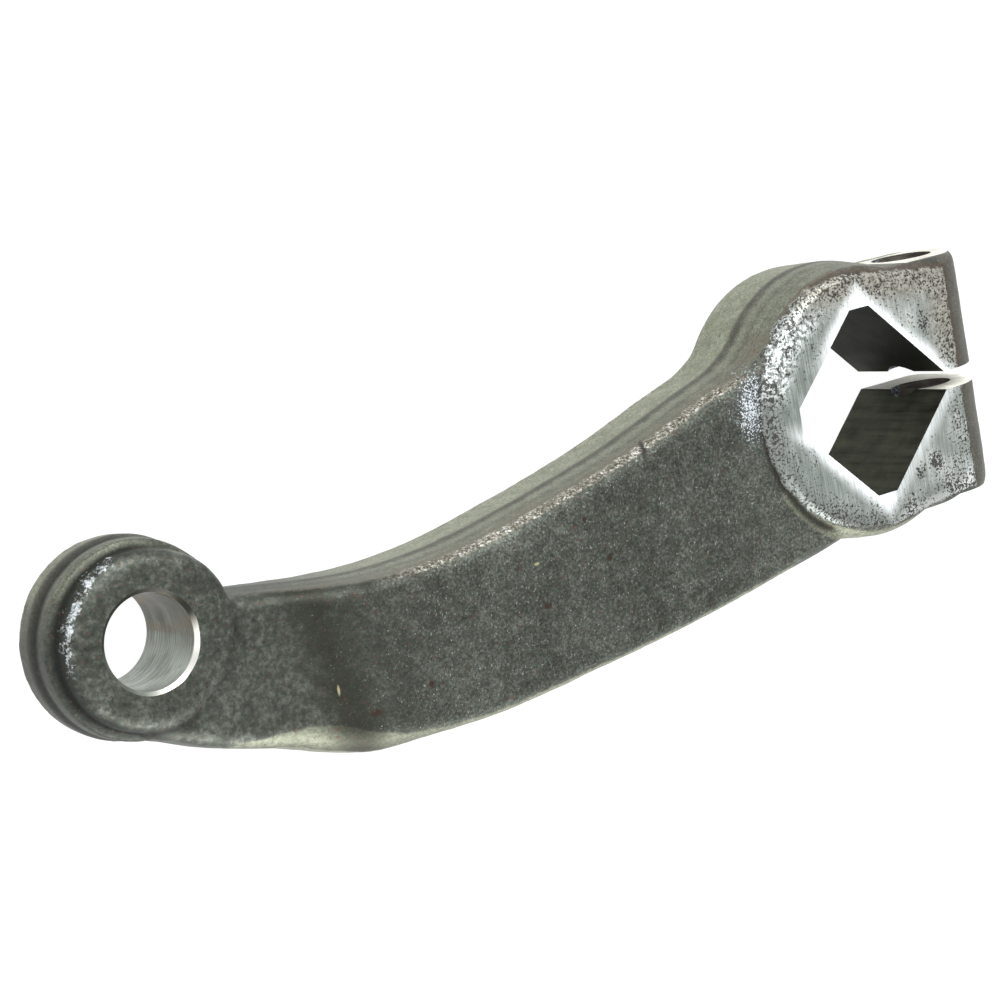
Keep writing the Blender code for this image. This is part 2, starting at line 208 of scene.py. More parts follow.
def loops_to_skin(loops):
    """Points and faces of a closed skin: each loop is joined to the next, the end loops are capped."""
    rows, columns = loops.shape[:2]
    start = np.arange(rows - 1)[:, None] * columns
    here = np.arange(columns)[None, :]
    ahead = (here + 1) % columns
    quads = np.stack([start + here, start + ahead, start + columns + ahead, start + columns + here], axis=-1)
    caps = [np.arange(columns)[::-1].tolist(), (np.arange(columns) + (rows - 1) * columns).tolist()]
    return loops.reshape(-1, 3), quads.reshape(-1, 4).tolist() + caps


def hub_skin():
    """Hub and ears: at each height the outline is a round of the hub's radius less the side's inset,
    whose ends run straight along X to the ears' corners and ends. The upper ear's corner is tighter."""
    heights, insets = forged_side(0.0, HUB_PARTING, HUB_THICKNESS + HUB_MILLED_OFF,
                                  HUB_REAR_ROUND, HUB_FRONT_ROUND)
    rise = np.clip((heights - (HUB_THICKNESS - EAR_NOSE_HEIGHT)) / EAR_NOSE_HEIGHT, 0.0, 1.0)
    dip = np.clip((EAR_REAR_ROUND - heights) / EAR_REAR_ROUND, 0.0, 1.0)
    reach = (EAR_REACH - EAR_NOSE_LENGTH * (1.0 - np.sqrt(1.0 - rise ** 2))
             - EAR_REAR_ROUND * (1.0 - np.sqrt(1.0 - dip ** 2)))
    radius = (HUB_RADIUS - insets)[:, None]
    half = (EAR_HALF_WIDTH - insets)[:, None]
    reach = reach[:, None]
    corner = np.maximum(EAR_CORNER - 0.6 * insets, EAR_LEAST_CORNER)[:, None]
    leave = np.arcsin(half / radius)
    sweep = leave + (2 * math.pi - 2 * leave) * np.linspace(0.0, 1.0, 160)
    turn = np.linspace(0.0, math.pi / 2, 7)
    along = np.linspace(0.0, 1.0, 18)[1:-1]
    leave_x = radius * np.cos(leave)
    lower_x = np.concatenate([leave_x + (reach - corner - leave_x) * along,
                              reach - corner + corner * np.sin(turn)], axis=1)
    lower_y = np.concatenate([-half + 0.0 * along, -half + corner * (1.0 - np.cos(turn))], axis=1)
    face_y = lower_y[:, -1:] * np.linspace(1.0, -1.0, 20)[1:-1]
    less = (1.0 - UPPER_EAR_CORNER) * corner
    bent = len(along)
    upper_x = np.concatenate([lower_x[:, :bent], lower_x[:, bent:] + less * (1.0 - np.sin(turn))], axis=1)
    upper_y = np.concatenate([-lower_y[:, :bent], -lower_y[:, bent:] + less * (1.0 - np.cos(turn))], axis=1)
    x = np.concatenate([radius * np.cos(sweep), lower_x, reach + 0.0 * face_y, upper_x[:, ::-1]], axis=1)
    y = np.concatenate([radius * np.sin(sweep), lower_y, face_y, upper_y[:, ::-1]], axis=1)
    return loops_to_skin(np.stack([x, y, heights[:, None] + 0.0 * x], axis=-1))


def smooth_edge(shares, offsets, root_turn, stations):
    """Stations on a cubic through knots, whose slope at a knot is the mean of its two sides', and the
    directions to its left. A knot lies at a share of the way to the eye plus an offset along Y."""
    knots = np.outer(shares, EYE_CENTRE) + np.outer(offsets, [0.0, 1.0])
    root = (HUB_RADIUS - BAR_ROOT_DEPTH) * np.array([math.cos(root_turn), math.sin(root_turn)])
    x, y = np.vstack([knots, root]).T
    gap = np.diff(x)
    secant = np.diff(y) / gap
    inner = (secant[:-1] * gap[1:] + secant[1:] * gap[:-1]) / (gap[1:] + gap[:-1])
    slope = np.concatenate([secant[:1], inner, secant[-1:]])
    across = np.linspace(x[0], x[-1], 40 * len(x))
    k = np.clip(np.searchsorted(x, across, side="right") - 1, 0, len(gap) - 1)
    t = (across - x[k]) / gap[k]
    level = (y[k] * (1 + 2 * t) * (1 - t) ** 2 + y[k + 1] * (3 - 2 * t) * t ** 2
             + gap[k] * (slope[k] * t * (1 - t) ** 2 - slope[k + 1] * (1 - t) * t ** 2))
    travel = np.concatenate([[0.0], np.cumsum(np.hypot(np.diff(across), np.diff(level)))])
    marks = np.linspace(0.0, travel[-1], stations)
    points = np.column_stack([np.interp(marks, travel, across), np.interp(marks, travel, level)])
    ahead = np.gradient(points, marks, axis=0)
    ahead = ahead / np.linalg.norm(ahead, axis=1, keepdims=True)
    return points, np.column_stack([-ahead[:, 1], ahead[:, 0]])


def ramp_share(x, y):
    """0 on the eye's side of the ramp in the bar's front face, 1 on the hub's side."""
    along = x - EYE_CENTRE[0]
    across = y - EYE_CENTRE[1]
    return smooth_step((along - RAMP_FROM_EYE + RAMP_SLANT * across) / RAMP_LENGTH + 0.5)


def front_height(x, y):
    """Height of the bar's front face: two levels joined by the ramp, and a rise at the hub's foot."""
    low = EYE_THICKNESS - BAR_DROP_AT_EYE
    high = HUB_THICKNESS - BAR_DROP_AT_HUB
    foot = smooth_step((HUB_RADIUS + FOOT_REACH - np.hypot(x, y)) / FOOT_LENGTH)
    return low + (high - low) * ramp_share(x, y) + FOOT_RISE * foot


def parting_height(x, y):
    """Height of the parting line, which climbs with the ramp."""
    return EYE_PARTING + (HUB_PARTING - EYE_PARTING) * ramp_share(x, y)


def bar_skin():
    """Bar: sections from the eye to the hub, each with a drafted side at both of the bar's edges and
    a front face whose points lie at the front height of their place."""
    upper, upper_out = smooth_edge(UPPER_SHARES, UPPER_OFFSETS, UPPER_ROOT_TURN, BAR_STATIONS)
    lower, lower_left = smooth_edge(LOWER_SHARES, LOWER_OFFSETS, LOWER_ROOT_TURN, BAR_STATIONS)
    off_elbow = np.abs(lower[:, 0] - EYE_CENTRE[0] - ELBOW_FROM_EYE) * 2 / ELBOW_LENGTH
    lower_round = BAR_FRONT_ROUND + ELBOW_EXTRA_ROUND * (1.0 - smooth_step(off_elbow))
    sides = []
    for edge, outward, front_round in ((upper, upper_out, BAR_FRONT_ROUND),
                                       (lower, -lower_left, lower_round)):
        inner = edge - outward * (0.9 * MM + np.reshape(front_round + 0.0 * edge[:, 0], (-1, 1)))
        heights, insets = forged_side(BAR_REAR, parting_height(*edge.T), front_height(*inner.T),
                                      BAR_REAR_ROUND, front_round)
        flat = edge[:, None, :] - insets[:, :, None] * outward[:, None, :]
        sides.append(np.concatenate([flat, heights[:, :, None]], axis=2))
    shares = np.linspace(0.0, 1.0, 42)[1:-1, None]
    flat = sides[0][:, -1:, :2] + (sides[1][:, -1:, :2] - sides[0][:, -1:, :2]) * shares
    face = np.concatenate([flat, front_height(flat[..., 0], flat[..., 1])[..., None]], axis=2)
    return loops_to_skin(np.concatenate([sides[0], face, sides[1][:, ::-1]], axis=1))


def eye_skin():
    """Eye: a profile of radius and height turned about the eye's axis. From the parting line each half
    leans in to a ledge, over which stands a boss with a rounded edge. The front ledge runs out towards
    the bar, as the boss grows by the ledge's width there."""
    halves = []
    angles = np.linspace(0.0, 2 * math.pi, 144, endpoint=False)
    off_bar = np.abs(np.arctan2(np.sin(angles - 0.1), np.cos(angles - 0.1)))
    toward_bar = 1.0 - smooth_step(off_bar - 0.25)
    turn = np.linspace(0.0, math.pi / 2, 8)
    rise = np.linspace(0.0, 1.0, 5)
    for face, toward, draft, ledge, boss_round, groove in (
            (0.0, -1.0, REAR_DRAFT, EYE_REAR_LEDGE, EYE_REAR_ROUND, 0.0),
            (EYE_THICKNESS, 1.0, FRONT_DRAFT, EYE_FRONT_LEDGE, EYE_FRONT_ROUND, EYE_GROOVE)):
        edge = face - toward * EYE_BOSS_STEP
        rim = EYE_RADIUS - math.tan(draft) * abs(edge - EYE_PARTING)
        boss = rim - ledge
        side = EYE_RADIUS + (rim - EYE_RADIUS) * rise - groove * np.array([0.0, 1.0, 0.25, 0.0, 0.0])
        radii = np.concatenate([side, [boss], boss - boss_round * (1.0 - np.cos(turn))])
        heights = np.concatenate([EYE_PARTING + (edge - EYE_PARTING) * rise, [edge],
                                  face - toward * boss_round * (1.0 - np.sin(turn))])
        on_boss = np.arange(len(radii)) >= len(rise)
        run_out = np.outer(on_boss, toward_bar) * (ledge if toward > 0 else 0.0)
        halves.append((radii[:, None] + run_out, heights))
    radii = np.concatenate([halves[0][0][::-1], halves[1][0][1:]])
    heights = np.concatenate([halves[0][1][::-1], halves[1][1][1:]])[:, None]
    x = EYE_CENTRE[0] + radii * np.cos(angles)
    y = EYE_CENTRE[1] + radii * np.sin(angles)
    return loops_to_skin(np.stack([x, y, heights + 0.0 * x], axis=-1))


# Meshes

def new_piece(name, points, faces, *materials):
    """An object at the origin whose mesh holds the points, moved from the hub's axis to its place."""
    mesh = bpy.data.meshes.new(name)
    mesh.from_pydata((points + HUB_AXIS).tolist(), [], faces)
    mesh.validate()
    for material in materials:
        mesh.materials.append(material)
    piece = bpy.data.objects.new(name, mesh)
    bpy.context.scene.collection.objects.link(piece)
    return piece


def read_points(mesh):
    """The mesh's points, from the hub's axis."""
    flat = np.empty(len(mesh.vertices) * 3)
    mesh.vertices.foreach_get("co", flat)
    return flat.reshape(-1, 3) - HUB_AXIS


def write_points(mesh, points):
    """Give the mesh new points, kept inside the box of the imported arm."""
    placed = np.clip(points + HUB_AXIS, ARM_LOW, ARM_HIGH)
    mesh.vertices.foreach_set("co", placed.ravel())
    mesh.update()


def read_normals(mesh):
    """The directions in which the skin faces at its points."""
    flat = np.empty(len(mesh.vertices) * 3)
    mesh.vertex_normals.foreach_get("vector", flat)
    return flat.reshape(-1, 3)


def bake_modifiers(piece):
    """Put the result of the piece's modifiers into its mesh."""
    bpy.context.view_layer.update()
    finished = piece.evaluated_get(bpy.context.evaluated_depsgraph_get())
    mesh = bpy.data.meshes.new_from_object(finished)
    piece.modifiers.clear()
    piece.data = mesh
    return mesh


def neighbour_mean(mesh, values, rounds):
    """Values at the points, each time replaced by the mean of their neighbours along the edges."""
    pairs = np.empty(len(mesh.edges) * 2, int)
    mesh.edges.foreach_get("vertices", pairs)
    one, other = pairs.reshape(-1, 2).T
    count = len(values)
    degree = np.maximum(np.bincount(one, minlength=count) + np.bincount(other, minlength=count), 1)
    values = values.reshape(count, -1)
    for _ in range(rounds):
        sums = [np.bincount(one, column[other], count) + np.bincount(other, column[one], count)
                for column in values.T]
        values = np.stack(sums, axis=1) / degree[:, None]
    return values


def lump_noise(points, size, seed):
    """Soft noise between -1 and 1: random values on a lattice of the given size, blended between the
    eight nearest by smooth steps along each axis."""
    side = 64
    lattice = np.random.default_rng(seed).uniform(-1.0, 1.0, (side, side, side))
    scaled = points / size
    low = np.floor(scaled).astype(int)
    t = smooth_step(scaled - low)
    value = np.zeros(len(points))
    for corner in range(8):
        step = np.array([corner & 1, corner >> 1 & 1, corner >> 2 & 1])
        weight = np.prod(np.where(step, t, 1.0 - t), axis=1)
        cell = (low + step) % side
        value += weight * lattice[cell[:, 0], cell[:, 1], cell[:, 2]]
    return value


def store(mesh, name, values):
    """Keep one number for each point under a name that the materials read."""
    attribute = mesh.attributes.new(name, "FLOAT", "POINT")
    attribute.data.foreach_set("value", np.asarray(values, np.float32))


def eye_distance(x, y):
    """Distance from the eye's axis."""
    return np.hypot(x - EYE_CENTRE[0], y - EYE_CENTRE[1])


def make_forging(material):
    """The arm as forged: hub, bar and eye become one even skin, which is smoothed into fillets and then
    marked. A point's bend is how far it stands out from the mean of its neighbours."""
    points = []
    faces = []
    count = 0
    for part_points, part_faces in (hub_skin(), bar_skin(), eye_skin()):
        points.append(part_points)
        faces.extend([index + count for index in face] for face in part_faces)
        count += len(part_points)
    piece = new_piece("steering_arm_body", np.vstack(points), faces)
    even = piece.modifiers.new("even_skin", "REMESH")
    even.mode = "VOXEL"
    even.voxel_size = VOXEL
    soft = piece.modifiers.new("fillets", "SMOOTH")
    soft.factor = 0.5
    soft.iterations = SOFTENING
    mesh = bake_modifiers(piece)

    points = read_points(mesh)
    normals = read_normals(mesh)
    bend = (points - neighbour_mean(mesh, points, 6)) * normals
    bend = neighbour_mean(mesh, bend.sum(axis=1), 4)[:, 0]
    points = mark_skin(points, normals)
    write_points(mesh, points)
    store_bends(mesh, points, normals, bend / MM)
    mesh.materials.append(material)
    return piece


def mark_skin(points, normals):
    """The skin's points, moved to give it soft lumps, a dent across the bar's worn edge, the set-in rear
    half of the upper ear, the hollow round the front of the eye and the hub's flat milled front."""
    lumps = sum(height * lump_noise(points, size, seed) for height, size, seed in LUMPS) * MM
    x, y, z = points.T
    off_nick = (x - NICK_X + NICK_LEAN * (z - NICK_TOP)) / NICK_WIDTH
    nick = np.exp(-off_nick ** 2) * smooth_step((z - 20 * MM) / (2 * MM)) * smooth_step(y / (2 * MM))
    points = points + normals * (lumps - NICK_DEPTH * nick)[:, None]

    x, y, z = points.T
    rear_ear = smooth_step((x - 6 * MM) / (5 * MM)) * smooth_step((11 * MM - z) / (5 * MM))
    points[:, 1] -= REAR_EAR_SET_IN * rear_ear * smooth_step((y - 20 * MM) / (5 * MM))
    ring = np.exp(-((eye_distance(x, y) - EYE_RADIUS + 1.6 * MM) / (1.1 * MM)) ** 2)
    ring = ring * smooth_step((z - 16 * MM) / (2 * MM)) * smooth_step((EYE_CENTRE[1] - y) / (8 * MM))
    points[:, 2] = np.clip(z - EYE_RING_DEPTH * ring, 0.0, HUB_THICKNESS)
    return points


def store_bends(mesh, points, normals, bend):
    """Keep what the bends, in millimetres, tell the material: where shade is painted in the hollows and in
    the two valleys round the eye, where outer edges are rubbed bright, with a painted highlight, and where a
    highlight is painted on the edge of the eye's boss."""
    x, y, z = points.T
    from_eye = eye_distance(x, y)
    far_side = 1.0 - smooth_step((x - EYE_CENTRE[0]) / (12 * MM))
    # Painted shade in the two valleys round the eye
    valley_shade = np.maximum(np.exp(-((z - 11.7 * MM) / (1.3 * MM)) ** 2) * (from_eye > 17.4 * MM),
                        np.exp(-((from_eye - 17.1 * MM) / (1.0 * MM)) ** 2) * (z > 15.2 * MM))
    valley_shade = valley_shade * far_side * (from_eye < EYE_RADIUS + 1 * MM)
    # Painted shade in the concave hollows of the skin
    hollow = smooth_step((-bend - 0.012) / 0.06) * (0.3 + 0.7 * smooth_step((x + 40 * MM) / (10 * MM)))
    store(mesh, "hollow", np.maximum(hollow, valley_shade))
    outer = np.maximum(smooth_step((0.91 - normals[:, 2]) / 0.2), smooth_step((x + 32 * MM) / (6 * MM)))
    store(mesh, "wear", smooth_step((bend - 0.018) / 0.045) * outer * wear_share(x, y))
    turn = np.arctan2(y - EYE_CENTRE[1], EYE_CENTRE[0] - x)
    edge = from_eye - 15.9 * MM - 0.5 * MM * smooth_step((turn - 0.75) / 0.5)
    arc = 1.0 - smooth_step(np.abs(turn - 0.64) / 0.55 - 0.9)
    store(mesh, "boss_edge", np.exp(-(edge / (0.95 * MM)) ** 2) * arc * (z > 17 * MM))


def wear_share(x, y):
    """How much of an outer edge has been rubbed bright, with a painted highlight: most on the bar's upper
    edge, about half on the hub, little elsewhere."""
    near_eye = smooth_step((EYE_RADIUS + 2 * MM - eye_distance(x, y)) / (3 * MM))
    middle = EYE_CENTRE[1] * x / EYE_CENTRE[0] - 17 * MM + 0.12 * (x + 85 * MM)
    upper = (smooth_step((x + 135 * MM) / (25 * MM)) * smooth_step((-26 * MM - x) / (8 * MM))
             * smooth_step((y - middle) / (4 * MM)) * (1.0 - near_eye))
    hub = 0.5 * smooth_step((HUB_RADIUS + 1 * MM - np.hypot(x, y)) / (2 * MM))
    return np.maximum(np.maximum(upper, hub), 0.1)


def prism(name, outline, low, high, material):
    """Upright cutting tool with a flat outline."""
    outline = np.asarray(outline, float)
    loops = [np.column_stack([outline, np.full(len(outline), z)]) for z in (low, high)]
    return new_piece(name, *loops_to_skin(np.stack(loops)), material)


def rod(name, radius, start, end, material):
    """Round cutting tool on the clamp bolt's axis, from one distance along Y to another."""
    angles = np.linspace(0.0, 2 * math.pi, ROUND_SIDES, endpoint=False)
    loops = [np.column_stack([BOLT_OUT + radius * np.cos(angles), np.full(ROUND_SIDES, y),
                              BOLT_HEIGHT + radius * np.sin(angles)]) for y in (end, start)]
    return new_piece(name, *loops_to_skin(np.stack(loops)), material)


def drill(name, profile, material):
    """Cutting tool turned about the eye's axis from pairs of radius and height."""
    angles = np.linspace(0.0, 2 * math.pi, ROUND_SIDES, endpoint=False)
    radii, heights = np.array(profile).T[:, :, None]
    x = EYE_CENTRE[0] + radii * np.cos(angles)
    y = EYE_CENTRE[1] + radii * np.sin(angles)
    return new_piece(name, *loops_to_skin(np.stack([x, y, heights + 0.0 * x], axis=-1)), material)


def machine(piece, tools):
    """Cut the tools out of the piece; each cut keeps the material of its tool."""
    for tool in tools:
        cut = piece.modifiers.new(tool.name, "BOOLEAN")
        cut.operation = "DIFFERENCE"
        cut.solver = "MANIFOLD"
        cut.material_mode = "TRANSFER"
        cut.object = tool
    mesh = bake_modifiers(piece)
    for tool in tools:
        bpy.data.objects.remove(tool)
    mesh.shade_smooth()
    mesh.set_sharp_from_angle(angle=math.radians(34.0))
    return mesh


def store_places(mesh):
    """Keep what the forged steel's material needs to know: the height over the parting line, where the
    skin shows as a side, and where it is stained, where shade is painted on the ramp and where it sparkles
    at the hub's foot. A paler, painted sheen runs along the bar's lower edge and round the hub's lower rim."""
    x, y, z = read_points(mesh).T
    normals = read_normals(mesh)
    upright = 1.0 - np.abs(normals[:, 2])
    over = (z - parting_height(x, y)) / MM
    along = (x - EYE_CENTRE[0]) / MM
    from_eye = eye_distance(x, y)
    from_hub = np.hypot(x, y) / MM
    on_bar = smooth_step((along - 6) / 14) * smooth_step((-22 * MM - x) / (5 * MM)) * (over > 0)

    lower = smooth_edge(LOWER_SHARES, LOWER_OFFSETS, LOWER_ROOT_TURN, BAR_STATIONS)[0]
    # Painted sheen along the bar's lower edge, widest at the elbow
    width = 2.1 + 4.3 * np.exp(-((along - 34) / 12) ** 2)
    belt = smooth_step((width - (y - np.interp(x, *lower.T)) / MM) / 2.0 + 0.5) * on_bar
    ledge = smooth_step((from_eye / MM - 16.6) / 0.8) * (from_eye < EYE_RADIUS)
    ledge = ledge * smooth_step((14 - along) / 16)
    down = np.arctan2(-y, -x)
    # Painted sheen round the hub's lower rim
    rim = (smooth_step((from_hub - 26.8) / 0.8) * smooth_step((31 - from_hub) / 1.5)
           * smooth_step((down - 0.35) / 0.2) * smooth_step((12 * MM - x) / (8 * MM)) * (z > 18 * MM))
    side = smooth_step((upright - 0.45) / 0.4)
    store(mesh, "over_parting", over)
    store(mesh, "side", np.maximum(np.maximum(side, belt), np.maximum(ledge, rim)))
    store(mesh, "belt", np.maximum(belt, 0.7 * rim))

    stain = smooth_step((normals[:, 1] - 0.3) / 0.3) * smooth_step((upright - 0.5) / 0.3)
    stain = stain * smooth_step((over - 4) / 3) * (along > 20) * (x < -22 * MM)
    store(mesh, "edge_stain", stain)
    ramp = ramp_share(x, y)
    # Painted shade on the ramp, and more faintly beyond it towards the hub
    dark = np.maximum(4.0 * ramp * (1.0 - ramp), 0.45 * np.exp(-((along - 44) / 18) ** 2))
    store(mesh, "ramp", dark * (side < 0.5))
    foot = np.exp(-((from_hub - 31.2) / 3.2) ** 2) * np.exp(-((down + 0.17) / 0.23) ** 2)
    store(mesh, "foot", foot * (z > 20 * MM))


# Materials

class Signal:
    """A socket of a node tree. Arithmetic on it adds the Math nodes that work it out."""

    def __init__(self, nodes, socket):
        self.nodes = nodes
        self.socket = socket

    def math(self, operation, *values):
        return self.nodes.node("Math", {"operation": operation}, dict(enumerate(values)))

    def __add__(self, other):
        return self.math("ADD", self, other)

    def __sub__(self, other):
        return self.math("SUBTRACT", self, other)

    def __mul__(self, other):
        return self.math("MULTIPLY", self, other)

    def __truediv__(self, other):
        return self.math("DIVIDE", self, other)

    def __radd__(self, other):
        return self.math("ADD", other, self)

    def __rsub__(self, other):
        return self.math("SUBTRACT", other, self)

    def __rmul__(self, other):
        return self.math("MULTIPLY", other, self)

    def __neg__(self):
        return self.math("MULTIPLY", self, -1.0)

    def __abs__(self):
        return self.math("ABSOLUTE", self)

    def least(self, other):
        return self.math("MINIMUM", self, other)

    def most(self, other):
        return self.math("MAXIMUM", self, other)

    def between(self, low, high):
        """0 up to low, 1 from high on, and a smooth rise between them."""
        return self.nodes.node("MapRange", {"interpolation_type": "SMOOTHSTEP"},
                               {"Value": self, "From Min": low, "From Max": high})

    def within(self, low, high):
        """1 as far as low on both sides of zero, 0 beyond high, and a smooth fall between them."""
        return 1.0 - abs(self).between(low, high)


class Nodes:
    """A node tree to which nodes are added."""

    def __init__(self, tree):
        self.tree = tree

    def node(self, kind, settings, inputs, output=0):
        """Add a node. Its settings are set first, then the values or links of its sockets."""
        node = self.tree.nodes.new("ShaderNode" + kind)
        for key, value in settings.items():
            if key == "stops":
                ramp = node.color_ramp
                while len(ramp.elements) < len(value):
                    ramp.elements.new(1.0)
                for element, (position, colour) in zip(ramp.elements, value):
                    element.position = position
                    element.color = (*colour, 1.0)
            else:
                setattr(node, key, value)
        for key, value in inputs.items():
            socket = node.inputs[key]
            if isinstance(value, Signal):
                self.tree.links.new(value.socket, socket)
            else:
                socket.default_value = value
        return Signal(self, node.outputs[output])


class Paint(Nodes):
    """A material with one Principled shader, and the places that its patterns read."""

    def __init__(self, name, rough, metal, preview):
        self.material = bpy.data.materials.new(name)
        self.material.use_nodes = True
        self.material.diffuse_color = (*preview, 1.0)
        super().__init__(self.material.node_tree)
        self.shader = self.tree.nodes["Principled BSDF"]
        self.shader.inputs["Roughness"].default_value = rough
        self.shader.inputs["Metallic"].default_value = metal
        raw = self.node("TexCoord", {}, {}, "Object")
        moved = self.node("VectorMath", {"operation": "SUBTRACT"}, {0: raw, 1: HUB_AXIS.tolist()})
        self.place = self.node("VectorMath", {"operation": "SCALE"}, {0: moved, "Scale": 1 / MM})
        self.x = self.node("SeparateXYZ", {}, {0: self.place}, "X")
        self.y = self.node("SeparateXYZ", {}, {0: self.place}, "Y")
        self.z = self.node("SeparateXYZ", {}, {0: self.place}, "Z")

    def noise(self, scale, detail=2.0, roughness=0.5, place=None):
        """Noise from 0 to 1, with its scale in lumps for each millimetre."""
        return self.node("TexNoise", {}, {"Vector": place or self.place, "Scale": scale,
                                          "Detail": detail, "Roughness": roughness})

    def stretched(self, x, y, z):
        """The place with each axis multiplied, for patterns drawn out in one direction."""
        return self.node("VectorMath", {"operation": "MULTIPLY"}, {0: self.place, 1: (x, y, z)})

    def spot(self, x, y, wide, high):
        """1 at a place of the front face and 0 beyond a reach along X and along Y."""
        away = self.node("VectorMath", {"operation": "DISTANCE"},
                         {0: self.stretched(1 / wide, 1 / high, 0.0), 1: (x / wide, y / high, 0.0)}, "Value")
        return 1.0 - away.between(0.3, 1.0)

    def spots(self, places):
        """The greatest of the spots at several places."""
        greatest = self.spot(*places[0])
        for place in places[1:]:
            greatest = greatest.most(self.spot(*place))
        return greatest

    def kept(self, name):
        """A number stored with the mesh."""
        return self.node("Attribute", {"attribute_name": name}, {}, "Fac")

    def blend(self, share, first, second):
        """Colour between the first, at 0, and the second, at 1."""
        pair = [value if isinstance(value, Signal) else (*value, 1.0) for value in (first, second)]
        return self.node("Mix", {"data_type": "RGBA"}, {"Factor": share, 6: pair[0], 7: pair[1]}, 2)

    def ramp(self, value, *stops):
        """Colour that follows a number through stops of position and colour."""
        return self.node("ValToRGB", {"stops": stops}, {"Fac": value})

    def feed(self, **sockets):
        """Link what varies over the surface into the shader."""
        for name, value in sockets.items():
            self.tree.links.new(value.socket, self.shader.inputs[name.replace("_", " ")])

    def bump(self, height, depth):
        """Relief of a height from 0 to 1 that is so many millimetres deep."""
        normal = self.node("Bump", {}, {"Height": height, "Distance": depth * MM, "Strength": 1.0})
        self.tree.links.new(normal.socket, self.shader.inputs["Normal"])


def forged_steel():
    """Dark scale with a blasted sparkle; edges rubbed bright with a painted highlight, the trimmed flash
    with painted shade along it, and the hub's milled front.
    """
    p = Paint("forged_steel", 0.5, 0.75, (0.30, 0.32, 0.30))
    at_eye = 1.0 - (p.x - EYE_CENTRE[0] / MM).between(22.0, 60.0)
    fine = p.noise(1.9, 4.0, 0.68)
    grain = fine + (p.noise(0.85, 3.0, 0.6) - fine) * (at_eye * 0.65)
    grain = 0.5 + (grain - 0.5) * (1.0 - 0.15 * at_eye)
    mottle = p.noise(0.32, 4.0, 0.6)
    blobs = p.noise(0.75, 3.0, 0.6)
    sparks = p.noise(2.5, 3.0, 0.5, p.stretched(1.25, 0.75, 1.0))
    fleck = (sparks + 0.14 * (mottle - 0.5) - 0.05 * at_eye).between(0.64, 0.73)

    colour = forged_scale(p, at_eye, fine, grain, mottle, fleck)
    colour, glints, worn_highlight, boss_highlight = bright_marks(p, colour, fine, grain, mottle, blobs)
    colour = dark_marks(p, colour)
    colour, milled, pits, hatch, glare = milled_front(p, colour, fine, blobs)

    shine = milled * (1.0 - pits)
    white = (glare * shine).most(worn_highlight).most(boss_highlight).most(glints * 0.6)
    roughness = 0.52 - 0.12 * fleck - 0.14 * worn_highlight.most(boss_highlight) + 0.2 * (grain - 0.5) - 0.12 * shine
    p.feed(Base_Color=colour, Roughness=roughness, Metallic=0.72 - 0.20 * shine - 0.42 * white)
    relief = (0.75 * grain + 0.25 * mottle) * (1.0 - 0.85 * shine)
    p.bump(relief + 0.12 * hatch * shine - 0.5 * pits * milled, 0.22)
    return p.material


def forged_scale(p, at_eye, fine, grain, mottle, fleck):
    """Colour of the scale on the faces and of the drawn sides, with painted shade on the eye's sides, most
    low down, and a painted sheen along the lower edge; the flash with painted shade along it, the creases
    and the rise beside it, the stained edge, and painted shade on the ramp and in the hollows."""
    side = p.kept("side")
    over = p.kept("over_parting")
    coarse = grain.between(0.35, 0.65)
    scale = p.ramp(0.60 * grain + 0.22 * mottle + 0.18 * p.noise(0.06, 3.0), (0.36, (0.022, 0.025, 0.019)),
                   (0.50, (0.075, 0.084, 0.070)), (0.66, (0.215, 0.235, 0.205)))
    drawn = p.ramp(0.40 * fine + 0.40 * p.noise(2.6, 4.0, 0.75) + 0.20 * mottle,
                   (0.41, (0.092, 0.100, 0.074)), (0.50, (0.200, 0.214, 0.162)), (0.585, (0.38, 0.40, 0.31)))
    drawn = p.blend(over.between(0.3, 1.2) * 0.42, drawn, (0.115, 0.124, 0.098))
    drawn = p.blend((1.0 - over.between(-1.2, -0.3)) * 0.22, drawn, (0.36, 0.39, 0.27))
    # Painted shade on the eye's sides, most on their lower part
    eye_side_shade = at_eye * (0.92 - 0.7 * (p.y - EYE_CENTRE[1] / MM).between(2.0, 15.0)) * (1.0 - p.kept("belt"))
    drawn = p.blend(eye_side_shade, drawn, p.blend(coarse, (0.036, 0.042, 0.036), (0.096, 0.106, 0.090)))
    # Painted sheen along the bar's lower edge and round the hub's lower rim
    belt = (p.kept("belt") + 0.9 * (mottle - 0.5) + 0.5 * (grain - 0.5)).between(0.25, 0.75)
    drawn = p.blend(belt * 0.65, drawn, p.blend(coarse, (0.17, 0.18, 0.125), (0.37, 0.39, 0.30)))
    colour = p.blend((side + 0.6 * (mottle - 0.5)).between(0.2, 0.8), scale, drawn)
    # Painted shade on the ramp
    colour = p.blend(p.kept("ramp") * 0.85, colour, (0.026, 0.027, 0.020))
    colour = p.blend(fleck * (1.0 - 0.75 * side) * (1.0 - 0.5 * at_eye) * 0.75, colour, (0.50, 0.53, 0.50))

    wander = over + (mottle - 0.5)
    # Painted shade along the parting line, at the step of the trimmed flash
    flash = wander.within(0.3, 2.0) * side
    colour = p.blend(flash * 0.72, colour, (0.046, 0.043, 0.036))
    crease = (wander - 4.6).within(0.1, 0.9).most((wander - 7.4).within(0.0, 0.6)) * side
    colour = p.blend(crease * 0.28, colour, (0.075, 0.066, 0.052))
    rise = (wander - 2.6).within(0.2, 1.2) * side * (1.0 - at_eye)
    colour = p.blend(rise * 0.3, colour, (0.27, 0.30, 0.23))
    brown = p.blend(mottle.between(0.45, 0.6), (0.17, 0.16, 0.12), (0.13, 0.085, 0.06))
    edge_stain = p.kept("edge_stain") * (0.4 + p.noise(0.35, 3.0).between(0.35, 0.65))
    colour = p.blend(edge_stain * 0.35, colour, brown)
    # Painted shade in the hollows and in the valleys round the eye
    return p.blend(p.kept("hollow") * 0.93, colour, (0.012, 0.014, 0.011))


